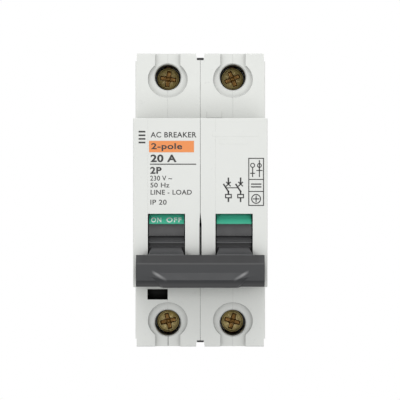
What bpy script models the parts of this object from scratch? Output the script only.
"""Two-pole miniature circuit breaker for 35 mm DIN rail, as an assembly of its
separate pieces.  Metres, +Z up.  The origin is the middle of the seat that
lies on the rail; the front looks along -Y and the rail is at +Y.  The handle
is in its OFF position (down) and every joint is at rest.

Dimensions are in millimetres; finish() turns each piece into metres.  Pieces
made once per pole are drawn about X = 0 and moved to the pole's centre line."""

import math

import bmesh
import bpy
from mathutils import Matrix, Vector

# ---------------------------------------------------------------- driving dimensions
MM = 0.001
MODULE = 18.0                       # width of one pole's module
POLE_X = {1: -MODULE / 2, 2: MODULE / 2}
NEIGHBOUR_SIDE = {1: 1.0, 2: -1.0}  # X direction from a pole to its neighbour
ENDS = (("top", 1), ("bottom", -1))  # terminal ends and their Z signs

HALF_WIDTH = 8.9                    # half width of one pole's case
WALL = 1.5
CHAMBER_HALF = HALF_WIDTH - WALL
TOP = 40.5                          # half height of the body
SHOULDER = -44.0                    # front of the terminal shoulders
NOSE = -60.0                        # front of the raised block
NOSE_TOP, NOSE_BOTTOM = 21.8, -23.2
BACK = 5.5                          # feet behind the rail seat
TERMINAL_Z = 34.0                   # terminal screw height above / below middle

# Places in the side view, as (Y, Z)
TOGGLE_AXIS = (-50.5, -12.2)
TOGGLE_HOLE = (-47.64, -6.93)       # link hole in the toggle
CARRIER_SLOT = (-31.5, -6.0)        # link slot in the contact carrier
CARRIER_AXIS = (-24.0, 4.0)
TRIP_AXIS = (-30.0, 9.0)
RIVETS = [(-6.0, 34.0), (-38.0, 25.0), (-52.0, 14.0), (-38.0, -25.5), (-19.0, -21.5)]

COIL_Y = -10.0
COIL_CENTRE = (0, COIL_Y)           # X, Y of the upright coil axis
COIL_ORIGIN = (0, COIL_Y, 9.0)
FLAT = 1.1                          # thickness of the copper strips
TERMINAL_STRIP_Y = -24.8
TERMINAL_STRIP_HALF = 3.6
SPRING_Z = -12.0

# ---------------------------------------------------------------- looks
GREY_CASE = dict(color=(0.72, 0.73, 0.71), roughness=0.45)
GREY_DARK = dict(color=(0.075, 0.078, 0.08), roughness=0.42)
BLACK = dict(color=(0.03, 0.03, 0.03), roughness=0.5)
WHITE = dict(color=(0.75, 0.72, 0.65), roughness=0.5)
ZINC = dict(color=(0.62, 0.52, 0.33), roughness=0.35, metallic=1.0)
STEEL = dict(color=(0.55, 0.55, 0.56), roughness=0.35, metallic=1.0)
COPPER = dict(color=(0.75, 0.36, 0.20), roughness=0.35, metallic=1.0)
BIMETAL = dict(color=(0.6, 0.55, 0.45), roughness=0.4, metallic=1.0)


def material(name, color, roughness, metallic=0.0):
    mat = bpy.data.materials.new(name)
    mat.use_nodes = True
    shader = mat.node_tree.nodes["Principled BSDF"]
    shader.inputs["Base Color"].default_value = (*color, 1.0)
    shader.inputs["Roughness"].default_value = roughness
    shader.inputs["Metallic"].default_value = metallic
    return mat


# ---------------------------------------------------------------- solids
def loft(rings, closed=False, triangulate=False):
    """Joins rings of points; closed joins last to first, else the ends are capped."""
    bm = bmesh.new()
    rings = [[bm.verts.new(point) for point in ring] for ring in rings]
    following = rings[1:]
    if closed:
        following.append(rings[0])
    else:
        bm.faces.new(rings[0])
        bm.faces.new(rings[-1])
    for low, high in zip(rings, following):
        for i in range(len(low)):
            j = (i + 1) % len(low)
            bm.faces.new((low[i], low[j], high[j], high[i]))
    if triangulate:
        bmesh.ops.triangulate(bm, faces=bm.faces)
    bmesh.ops.recalc_face_normals(bm, faces=bm.faces)
    mesh = bpy.data.meshes.new("piece")
    bm.to_mesh(mesh)
    bm.free()
    piece = bpy.data.objects.new("piece", mesh)
    bpy.context.scene.collection.objects.link(piece)
    return piece


def place(axis, point, along):
    """The 3D point at a distance along an axis; point is in the plane across it."""
    first, second = point
    return {"X": (along, first, second),
            "Y": (first, along, second),
            "Z": (first, second, along)}[axis]


def prism(axis, outline, start, end):
    """A polygon in the plane across an axis, extruded along it."""
    return loft([[place(axis, point, along) for point in outline] for along in (start, end)])


def box(x0, x1, y0, y1, z0, z1):
    """The X and the Z limits may come in either order."""
    x0, x1 = sorted((x0, x1))
    z0, z1 = sorted((z0, z1))
    return prism("X", [(y0, z0), (y1, z0), (y1, z1), (y0, z1)], x0, x1)


def arc(centre, radius, degrees):
    angles = [math.radians(angle) for angle in degrees]
    return [(centre[0] + radius * math.cos(angle), centre[1] + radius * math.sin(angle))
            for angle in angles]


def sections(axis, centre, profile, sides):
    """Circles about an axis, one for each (radius, along) of the profile."""
    step = 2 * math.pi / sides
    angles = [step / 2 + i * step for i in range(sides)]
    return [[place(axis, (centre[0] + radius * math.cos(angle),
                          centre[1] + radius * math.sin(angle)), along) for angle in angles]
            for radius, along in profile]


def turned(axis, centre, profile, sides):
    """Stacked (radius, along) sections closed by flat ends."""
    return loft(sections(axis, centre, profile, sides))


def rod(axis, centre, radius, start, end, sides=16):
    return turned(axis, centre, [(radius, along) for along in sorted((start, end))], sides)


def legs_around(points):
    """The unit directions before and after each point of a path."""
    legs = [(b - a).normalized() for a, b in zip(points, points[1:])]
    return zip(legs[:1] + legs, legs + legs[-1:])


def tube(path, radius, sides):
    """A round wire along a path of points."""
    points = [Vector(point) for point in path]
    side = (points[1] - points[0]).normalized().orthogonal().normalized()
    rings = []
    for point, (before, after) in zip(points, legs_around(points)):
        tangent = (after + before).normalized()
        side = (side - tangent * side.dot(tangent)).normalized()
        other = tangent.cross(side)
        rings.append([point + radius * (math.cos(angle) * side + math.sin(angle) * other)
                      for angle in (2 * math.pi * k / sides for k in range(sides))])
    return loft(rings)


def strip(path, x0, x1):
    """A bent strip, FLAT thick about a line in the YZ plane, with mitred bends."""
    points = [Vector(point) for point in path]
    left, right = [], []
    for point, (before, after) in zip(points, legs_around(points)):
        normal = Vector((-before.y, before.x))
        mitre = (normal + Vector((-after.y, after.x))).normalized()
        offset = mitre * (FLAT / 2 / mitre.dot(normal))
        left.append(tuple(point + offset))
        right.append(tuple(point - offset))
    return prism("X", left + right[::-1], x0, x1)


def combine(target, tools, operation):
    """Applies booleans to the target and removes the tools."""
    for tool in tools:
        mod = target.modifiers.new("step", "BOOLEAN")
        mod.operation = operation
        mod.solver = "EXACT"
        mod.object = tool
    graph = bpy.context.evaluated_depsgraph_get()
    graph.update()
    mesh = bpy.data.meshes.new_from_object(target.evaluated_get(graph))
    target.modifiers.clear()
    target.data = mesh
    for tool in tools:
        bpy.data.objects.remove(tool, do_unlink=True)
    return target


def add(target, *tools):
    return combine(target, tools, "UNION")


def cut(target, *tools):
    return combine(target, tools, "DIFFERENCE")


def finish(piece, name, look, origin=(0.0, 0.0, 0.0), smooth=False, shift=0.0):
    """Names a piece, sets its origin, turns mm to metres and shifts it along X."""
    origin = Vector(origin)
    mesh = piece.data
    bm = bmesh.new()
    bm.from_mesh(mesh)
    bmesh.ops.remove_doubles(bm, verts=bm.verts, dist=0.0005)
    bmesh.ops.recalc_face_normals(bm, faces=bm.faces)
    bm.to_mesh(mesh)
    bm.free()
    mesh.transform(Matrix.Scale(MM, 4) @ Matrix.Translation(-origin))
    piece.location = (origin + Vector((shift, 0, 0))) * MM
    piece.name = mesh.name = name
    mesh.materials.clear()
    mesh.materials.append(material(name, **look))
    if smooth:
        mesh.polygons.foreach_set("use_smooth", [True] * len(mesh.polygons))


def per_pole(base_name, piece, look, origin, smooth=False):
    """The same shape in each pole, as an object and mesh of its own."""
    twin = piece.copy()
    twin.data = piece.data.copy()
    bpy.context.scene.collection.objects.link(twin)
    for pole, copy in ((1, piece), (2, twin)):
        finish(copy, f"{base_name}_{pole}", look, origin, smooth, POLE_X[pole])


# ---------------------------------------------------------------- case
# Cutters run past the surfaces they open.
def hollow_body():
    """Outer form less the main chamber; outlines are (Y, Z)."""
    outer = [(SHOULDER, TOP), (BACK, TOP), (BACK, 15.5), (1.3, 15.5), (1.3, 18.0), (0.0, 18.0),
             (0.0, -18.6), (BACK, -18.6), (BACK, -TOP), (SHOULDER, -TOP),
             (SHOULDER, NOSE_BOTTOM), (NOSE, NOSE_BOTTOM), (NOSE, NOSE_TOP),
             (SHOULDER, NOSE_TOP)]
    front, nose, end = SHOULDER + WALL, NOSE + WALL, TOP - WALL
    chamber = [(front, 27.5), (-14.4, 27.5), (-14.4, end), (3.9, end), (3.9, 20.0),
               (-2.0, 20.0), (-2.0, -end), (-14.4, -end), (-14.4, -27.5), (front, -27.5),
               (front, NOSE_BOTTOM + WALL), (nose, NOSE_BOTTOM + WALL),
               (nose, NOSE_TOP - WALL), (front, NOSE_TOP - WALL)]
    return cut(prism("X", outer, -HALF_WIDTH, HALF_WIDTH),
               prism("X", chamber, -CHAMBER_HALF, CHAMBER_HALF))


def shell(pole):
    """One pole's hollow moulding before it is parted into cover and base."""
    inner = NEIGHBOUR_SIDE[pole]

    def inner_box(x0, x1, *limits):
        """A box with X measured towards the neighbouring pole."""
        return box(inner * x0, inner * x1, *limits)

    body = hollow_body()
    boss_end = CHAMBER_HALF + 0.2
    add(body, *[rod("X", rivet, 2.8, -boss_end, boss_end, 14) for rivet in RIVETS])
    # Pad in front of the rear clip pocket
    add(body, inner_box(4.6, 7.5, -3.2, -1.9, -9.2, 9.2))

    holes = []
    for rivet in RIVETS:
        holes.append(rod("X", rivet, 1.35, -10, 10, 12))
        holes.append(rod("X", rivet, 2.5, -inner * 7.9, -inner * 10, 16))
    holes.append(rod("X", TOGGLE_AXIS, 1.65, -8.3, 8.3, 16))
    holes.append(rod("X", CARRIER_AXIS, 1.1, -8.2, 8.2, 12))
    holes.append(rod("X", TRIP_AXIS, 1.5, -inner * 8.3, inner * 10, 12))
    cut(body, *holes)

    openings = []
    for _, sign in ENDS:
        openings += [
            # Round-bottomed recess in the shoulder, open at the end
            add(rod("Y", (0, sign * 33.0), 5.4, -46, -42.8, 28),
                box(-3.4, 3.4, -46, -42.8, sign * 33, sign * 42)),
            # Screw hole, clamp pocket, opening in the end and strip slot
            rod("Y", (0, sign * TERMINAL_Z), 3.55, -45, -34.0, 24),
            box(-5.4, 5.4, -34.2, -15.8, sign * 29, sign * 38.7),
            box(-4.1, 4.1, -24.3, -17.6, sign * 38, sign * 42),
            box(-4.0, 4.0, -26.0, -23.6, sign * 27, sign * 29.6),
            # Relief along the inner edge and the T-shaped link clip seat under it
            inner_box(7.85, 10, -46, 7, sign * 39.2, sign * 42),
            add(inner_box(7.85, 10, -46, -31.5, sign * 38.3, sign * 39.25),
                inner_box(6.3, 10, -42.2, -31.5, sign * 38.3, sign * 39.25)),
            # Relief along the outer edge
            inner_box(-8.57, -10, -46, -20, sign * 38.3, sign * 42),
        ]
    cut(body, *openings)

    # Three slots in the bottom, rail clip channel, toggle window, rear clip pocket
    openings = [box(-5, 5, y, y + 1.6, -42, -38.5) for y in (-13.0, -9.4, -5.8)]
    openings.append(add(box(-4.2, 4.2, 0.0, 6.5, -42, -15), box(-5.3, 5.3, 0.3, 1.9, -42, -18)))
    openings.append(box(-4.97, 4.95, -62, -58, -21.0, -3.65))
    openings.append(inner_box(4.9, 10, -1.3, 1, -8.2, 8.2))
    if pole == 1:
        # Window in the shoulder below the nose
        openings.append(box(-5.6, 0.0, -46, -42, -27.2, -24.6))
    return cut(body, *openings)


def case_cover(pole):
    """The -X half: shoulders up to the middle, nose only beside the window."""
    return cut(shell(pole), box(-0.04, 12, -70, 10, -45, 45),
               box(-5.02, 12, -70, -42.1, -23.4, 22.0))


def case_base(pole):
    """The +X half, with the nose front across the window."""
    return cut(shell(pole), box(-12, 0.04, -42.2, 10, -45, 45),
               box(-12, 0.04, -50, -42.0, 21.9, 45), box(-12, 0.04, -50, -42.0, -45, -23.3),
               box(-12, -4.92, -70, -42.0, -23.6, 22.2))


def build_case():
    for pole, shift in POLE_X.items():
        finish(case_cover(pole), f"case_cover_{pole}", GREY_CASE, shift=shift)
        finish(case_base(pole), f"case_base_{pole}", GREY_CASE, shift=shift)


# ---------------------------------------------------------------- toggles and tie bar
LEVER_HALF = 4.7
LEVER_ROOT_HALF = 4.1


def toggle():
    """Drum, lever and axle in one piece."""
    axis_y, axis_z = TOGGLE_AXIS
    # (radius, degrees above straight ahead) about the toggle axis
    front_rim = [(7.5, -4.0), (7.5, 5.0), (8.6, 5.8), (8.7, 6.8), (8.2, 7.8), (8.2, 15.5)]
    front_rim += [(10.2, angle) for angle in (15.5, 25, 34.7, 45, 55, 65, 75)]
    bottom_rim = [(9.2, angle) for angle in (-90, -78, -66, -55)]
    # (Y, Z) from the toggle axis
    rear = [(1.6, 7.7), (4.3, 6.9), (5.0, 4.8), (3.7, 1.0), (3.4, -1.5), (1.6, -9.06)]

    def from_polar(stations):
        return [(axis_y - radius * math.cos(math.radians(angle)),
                 axis_z + radius * math.sin(math.radians(angle))) for radius, angle in stations]

    outline = from_polar(front_rim) + [(axis_y + y, axis_z + z) for y, z in rear]
    drum = prism("X", outline + from_polar(bottom_rim), -LEVER_HALF, LEVER_HALF)
    lever = prism("X", [(-57.8, -12.5), (-64.95, -14.2), (-64.95, -21.2), (-60.0, -20.5),
                        (-56.2, -19.0)], -LEVER_HALF, LEVER_HALF)
    for vertex in lever.data.vertices:
        if vertex.co.y > -60.5:     # the root is narrower than the front
            vertex.co.x *= LEVER_ROOT_HALF / LEVER_HALF
    add(drum, lever, rod("X", TOGGLE_AXIS, 1.5, -8.0, 8.0))
    return cut(drum, rod("X", TOGGLE_HOLE, 0.85, 0.6, 6.0, 10))


def tie_bar():
    """Bar across both levers, with a lip at the lower front."""
    bar = prism("X", [(-62.2, -15.7), (-65.0, -14.4), (-66.95, -16.7), (-66.6, -21.1),
                      (-65.6, -22.8), (-62.2, -22.8)], -16.9, 16.9)
    # Y, Z and half width
    lip = [(-65.5, -18.0, 11.6), (-66.8, -18.6, 11.4), (-67.5, -20.9, 9.2),
           (-66.6, -23.1, 9.0), (-65.2, -23.1, 9.0), (-65.0, -22.5, 11.6)]
    add(bar, loft([[(side * half, y, z) for y, z, half in lip] for side in (-1, 1)],
                  triangulate=True))
    return cut(bar, *[box(x - 4.85, x + 4.85, -65.07, -60, -21.35, -10)
                      for x in POLE_X.values()])


def build_handle():
    per_pole("toggle", toggle(), GREY_DARK, (0, *TOGGLE_AXIS))
    finish(tie_bar(), "handle_tie_bar", GREY_DARK, (0, *TOGGLE_AXIS))


# ---------------------------------------------------------------- switching mechanism
def toggle_link():
    """U-shaped wire from the toggle to the carrier slot."""
    x, bend_x = 5.75, 5.15
    hole_y, hole_z = TOGGLE_HOLE
    slot_y, slot_z = CARRIER_SLOT
    return tube([(1.1, hole_y, hole_z), (bend_x, hole_y, hole_z), (x, hole_y + 0.5, hole_z),
                 (x, slot_y - 0.5, slot_z), (bend_x, slot_y, slot_z), (-1.8, slot_y, slot_z)],
                0.6, 8)


def contact_carrier():
    body = prism("X", [(-26.6, 6.0), (-24, 7.0), (-21.6, 5.8), (-21.2, 3.2), (-21.4, 0),
                       (-22.4, -5.0), (-25.5, -9), (-27.6, -14.2), (-29.4, -14.2),
                       (-30.2, -9.6), (-33.6, -8.8), (-34.5, -6.0), (-33.4, -3.6),
                       (-30.5, -3.2)], -2.2, 2.2)
    y, z = CARRIER_SLOT
    slot = arc((y + 0.75, z), 1.05, range(-72, 73, 36))
    slot += arc((y - 0.75, z), 1.05, range(108, 253, 36))
    return cut(body, rod("X", CARRIER_AXIS, 1.15, -5, 5, 12), prism("X", slot, -5, 5))


def moving_contact():
    return prism("X", [(-20.9, 2.6), (-19.5, 2.6), (-17.8, -6), (-14.9, -12.6), (-15.2, -14.2),
                       (-16.9, -13.8), (-19.9, -6.5)], -1.2, 1.2)


def fixed_contact():
    return strip([(-4.0, -2.2), (-4.0, -4.9), (-11.2, -6.0), (-12.1, -7.1), (-10.1, -9.7),
                  (-4.6, -13.2), (-3.3, -15.6)], -2.4, 2.4)


def contact_spring():
    radius, front, length = 2.0, -41.9, 11.1
    turns, steps = 6, 10
    path = []
    for i in range(turns * steps + 1):
        angle = 2 * math.pi * i / steps
        path.append((radius * math.cos(angle), front + length * i / (turns * steps),
                     SPRING_Z + radius * math.sin(angle)))
    return tube(path, 0.3, 4)


def trip_lever():
    """Bored hub with an arm, a side tab and a small block."""
    outline = arc(TRIP_AXIS, 2.4, range(75, 286, 30))
    outline += [(-26.5, 7.0), (-21.9, 7.0), (-21.9, -1.9), (-8.0, -1.9), (-8.0, -0.9),
                (-20.2, -0.9), (-20.2, 9.4), (-21.5, 10.6)]
    arm = prism("X", outline, -6.0, -4.0)
    add(arm, box(-4.4, 1.0, -12.0, -8.0, -1.85, -0.95), box(-4.4, -2.6, -21.8, -20.8, 5.0, 6.6))
    return cut(arm, rod("X", TRIP_AXIS, 1.35, -8, 8, 12))


def build_mechanism():
    carrier_origin, trip_origin = (0, *CARRIER_AXIS), (0, *TRIP_AXIS)
    per_pole("toggle_link", toggle_link(), STEEL, (0, *TOGGLE_HOLE), smooth=True)
    per_pole("contact_carrier", contact_carrier(), BLACK, carrier_origin)
    per_pole("moving_contact", moving_contact(), COPPER, carrier_origin)
    per_pole("carrier_pin", rod("X", CARRIER_AXIS, 1.0, -8.0, 8.0, 12), STEEL,
             carrier_origin, smooth=True)
    per_pole("contact_spring", contact_spring(), STEEL, (0, -36.0, SPRING_Z), smooth=True)
    per_pole("fixed_contact", fixed_contact(), COPPER, (0, -4.0, -6.0))
    per_pole("trip_lever", trip_lever(), WHITE, trip_origin)
    finish(rod("X", TRIP_AXIS, 1.2, -17.2, 17.2, 12), "trip_bar", STEEL, trip_origin,
           smooth=True)


# ---------------------------------------------------------------- magnetic and thermal release
def magnet_coil():
    """Lead at +X, winding from the bottom up, then the lead down at -X."""
    radius, bottom, height = 4.45, 5.0, 8.2
    turns, steps = 5.5, 12
    count = int(turns * steps)
    angles = [-2 * math.pi * (i + 0.5) / steps for i in range(count)]
    angles.append(-2 * math.pi * turns)
    path = [(5.7, COIL_Y + 0.7, -1.2), (5.7, COIL_Y + 0.7, 3.9), (5.1, COIL_Y + 0.5, 4.75)]
    path += [(radius * math.cos(angle), COIL_Y + radius * math.sin(angle),
              bottom + height * i / count) for i, angle in enumerate(angles)]
    path += [(-5.3, -7.0, 13.3), (-5.6, -4.9, 12.6), (-5.6, -4.4, 11.3), (-5.6, -4.4, -0.5),
             (-5.0, -4.3, -1.3), (-2.6, -4.1, -1.4)]
    return tube(path, 0.6, 5)


def coil_bobbin():
    """Flanged sleeve; the closed profile is (radius, Z)."""
    profile = [(2.1, 2.6), (5.0, 2.6), (5.0, 3.6), (3.6, 3.9), (3.6, 14.3), (5.0, 14.6),
               (5.0, 15.6), (2.1, 15.6)]
    return loft(zip(*sections("Z", COIL_CENTRE, profile, 16)), closed=True)


def magnet_yoke():
    """C-shaped frame, open to the front, bored below for the plunger."""
    front, back, bottom, top, thickness = -15.6, -2.5, 0.8, 17.6, 1.5
    frame = prism("X", [(front, bottom), (back, bottom), (back, top), (front, top),
                        (front, top - thickness), (-3.9, top - thickness),
                        (-3.9, bottom + thickness), (front, bottom + thickness)], -4.5, 4.5)
    return cut(frame, rod("Z", COIL_CENTRE, 1.25, 0, 3, 12))


def build_release():
    per_pole("magnet_coil", magnet_coil(), COPPER, COIL_ORIGIN, smooth=True)
    per_pole("coil_bobbin", coil_bobbin(), WHITE, COIL_ORIGIN)
    per_pole("magnet_yoke", magnet_yoke(), STEEL, COIL_ORIGIN)
    plunger = [(0.9, 1.4), (0.9, 6.0), (1.85, 6.4), (1.85, 15.2), (1.5, 15.6)]
    per_pole("plunger", turned("Z", COIL_CENTRE, plunger, 14), STEEL, (0, COIL_Y, 1.4),
             smooth=True)
    per_pole("bimetal", box(-2.4, 2.4, -19.5, -18.7, 4.5, 25.45), BIMETAL, (0, -19.1, 25.2))
    screw_z = 23.6
    screw = [(1.1, -17.25), (1.1, -14.2), (1.9, -13.9), (1.9, -12.6), (1.7, -12.4)]
    per_pole("calibration_screw", turned("Y", (0, screw_z), screw, 12), ZINC,
             (0, -17.0, screw_z), smooth=True)
    braid = [(1.95, -18.9, -5.6), (2.6, -18.0, -4.4), (3.3, -16.8, -1.6), (3.4, -16.6, 1.6),
             (2.9, -17.1, 4.6), (1.6, -17.95, 6.6), (1.5, -17.95, 8.4)]
    per_pole("braid", tube(braid, 0.62, 6), COPPER, (0, -17.0, 0.0), smooth=True)


# ---------------------------------------------------------------- current path and terminals
def top_terminal_strip():
    return strip([(TERMINAL_STRIP_Y, 38.4), (TERMINAL_STRIP_Y, 26.15), (-18.0, 26.15),
                  (-18.0, 22.3)], -TERMINAL_STRIP_HALF, TERMINAL_STRIP_HALF)


def bottom_terminal_strip():
    """Terminal plate, a wing out to +X and a narrow leg up from it."""
    y = TERMINAL_STRIP_Y
    plate = strip([(y, -38.4), (y, -24.6)], -TERMINAL_STRIP_HALF, TERMINAL_STRIP_HALF)
    wing = box(0, 6.3, -25.35, -24.25, -26.9, -24.6)
    leg = strip([(y, -25.6), (y, -18.3), (-9.3, -14.6), (-9.3, -1.95)], 5.1, 6.3)
    return add(plate, wing, leg)


def terminal_screw(sign):
    """Screw with a cross recess, turned a little differently at each end."""
    z = sign * TERMINAL_Z
    body = turned("Y", (0, z), [(2.7, -36.25), (3.0, -35.95), (3.0, -33.8), (2.1, -33.75),
                                (2.1, -26.0), (1.6, -25.5)], 20)
    angle = math.radians(12 if sign < 0 else -5)
    cross = add(box(-1.9, 1.9, -37, -35.0, -0.4, 0.4), box(-0.4, 0.4, -37, -35.0, -1.9, 1.9))
    cross.data.transform(Matrix.Translation((0, 0, z)) @ Matrix.Rotation(angle, 4, "Y"))
    return cut(body, cross)


def clamp_cage(sign):
    """Square frame open above and below, bored in front for the screw."""
    z, half = sign * TERMINAL_Z, 3.8
    return cut(box(-5.0, 5.0, -27.8, -16.7, z - half, z + half),
               box(-4.0, 4.0, -25.8, -18.2, z - half - 1, z + half + 1),
               rod("Y", (0, z), 2.25, -29, -25, 16))


def build_terminals():
    for end, sign in ENDS:
        z = sign * TERMINAL_Z
        terminal_strip = top_terminal_strip() if sign > 0 else bottom_terminal_strip()
        per_pole(end + "_terminal_strip", terminal_strip, COPPER, (0, TERMINAL_STRIP_Y, z))
        per_pole(end + "_terminal_screw", terminal_screw(sign), ZINC, (0, -36.25, z),
                 smooth=True)
        per_pole(end + "_clamp_cage", clamp_cage(sign), STEEL, (0, -22.0, z))


# ---------------------------------------------------------------- arc chute
def arc_chute():
    """Stack of plates joined by a wall at each side; the comb outline is (X, Y)."""
    back, plates, pitch, thickness = -2.4, 8, 1.55, 0.8
    bottom, top = -38.0, -17.0
    front = back - (plates - 1) * pitch - thickness
    outline = [(-6.3, front), (-6.3, back)]
    for i in range(plates):
        y = back - i * pitch
        outline += [(-5.3, y), (5.4, y), (5.4, y - thickness), (-5.3, y - thickness)]
    outline.pop()                   # the last plate's front runs straight to the wall
    return add(prism("Z", outline, bottom, top), box(5.2, 6.3, front, back, bottom, top))


# ---------------------------------------------------------------- clips and rivets
def din_clip():
    hook = prism("X", [(0.4, -19.0), (1.4, -18.4), (1.4, -15.7), (3.2, -15.7), (5.2, -18.2),
                       (5.2, -40.3), (0.4, -40.3)], -4.0, 4.0)
    add(hook, box(-5.0, 5.0, 0.5, 1.7, -36.0, -20.0))
    return cut(hook, box(-2.2, 2.2, 2.2, 3.8, -41, -37.0))


def link_clip(sign):
    """Flat T between the poles, stem to the front."""
    heights = (sign * 38.45, sign * 39.1)
    return add(box(-1.0, 1.0, -43.6, -40, *heights), box(-2.5, 2.5, -42.0, -31.8, *heights))


def build_fasteners():
    per_pole("din_clip", din_clip(), BLACK, (0, 1.0, -28.0))
    for end, sign in ENDS:
        finish(link_clip(sign), end + "_link_clip", BLACK)
    finish(box(-4.0, 4.0, -1.2, 0.0, -8.0, 8.0), "rear_link_clip", BLACK)
    half = [(1.2, 16.95), (2.3, 16.98), (2.3, 17.6), (2.0, 17.85)]  # radius, X
    profile = [(radius, -x) for radius, x in reversed(half)] + half
    for i, rivet in enumerate(RIVETS, 1):
        finish(turned("X", rivet, profile, 12), f"case_rivet_{i}", STEEL, (0, *rivet),
               smooth=True)


for leftover in list(bpy.data.objects):
    bpy.data.objects.remove(leftover, do_unlink=True)
build_case()
build_handle()
build_mechanism()
build_release()
build_terminals()
per_pole("arc_chute", arc_chute(), STEEL, (0, -8.0, -27.0))
build_fasteners()
